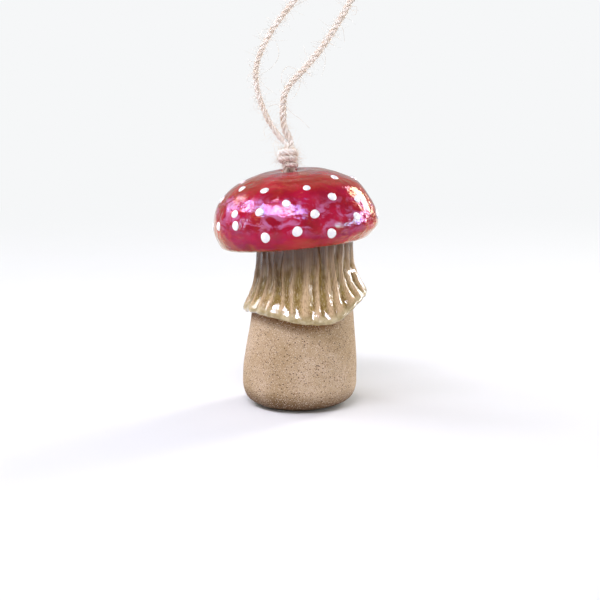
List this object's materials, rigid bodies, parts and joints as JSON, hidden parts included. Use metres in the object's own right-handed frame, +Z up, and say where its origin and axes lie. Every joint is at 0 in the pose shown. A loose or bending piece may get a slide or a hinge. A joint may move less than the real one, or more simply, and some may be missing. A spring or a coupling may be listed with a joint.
{
  "type": "mushroom ornament",
  "caption": "Ceramic toadstool ornament: hollow spotted cap on an open tubular stem with a fluted skirt, hung on a knotted jute twine loop.",
  "frame": {"origin": "on the surface that the foot rests on, under the middle of the cap's width", "axes": "+Z up along the stem, -Y towards the viewer of the picture, +X to the viewer's right"},
  "size_m": [0.0552, 0.0556, 0.1531],
  "materials": {
    "red_glaze": "glossy red glaze, thin and orange at the rim",
    "white_slip": "raised dots of glossy white slip",
    "buff_stoneware": "matt unglazed buff stoneware with fine dark speckles",
    "fluted_skirt": "transparent glaze, pinkish beige on the ridges, olive brown in the flutes and cream at the hem",
    "jute": "natural jute twine with loose fibres"
  },
  "bodies": {
    "ornament": {"cap": "red_glaze", "cap_spots": "white_slip", "stem_body": "buff_stoneware", "skirt": "fluted_skirt"},
    "strands": {"through_twine": "jute"},
    "knots": {"crown_knot": "jute", "retaining_knot": "jute", "twine_tails": "jute"},
    "hanging_loop": {"twine_loop": "jute"}
  },
  "joints": [
    {"name": "hanger_lift", "type": "slide", "parent": "ornament", "child": "strands", "axis": [-0.0871, 0.0174, 0.996], "range_m": [0, 0.0035]},
    {"name": "twine_swivel", "type": "hinge", "parent": "strands", "child": "knots", "pos_m": [-0.0022, 0, 0.0785], "axis": [-0.0871, 0.0174, 0.996], "continuous": true},
    {"name": "loop_tilt", "type": "hinge", "parent": "knots", "child": "hanging_loop", "pos_m": [-0.00265, 0, 0.0877], "axis": [1, 0, 0], "range_deg": [-90, 90]}
  ]
}
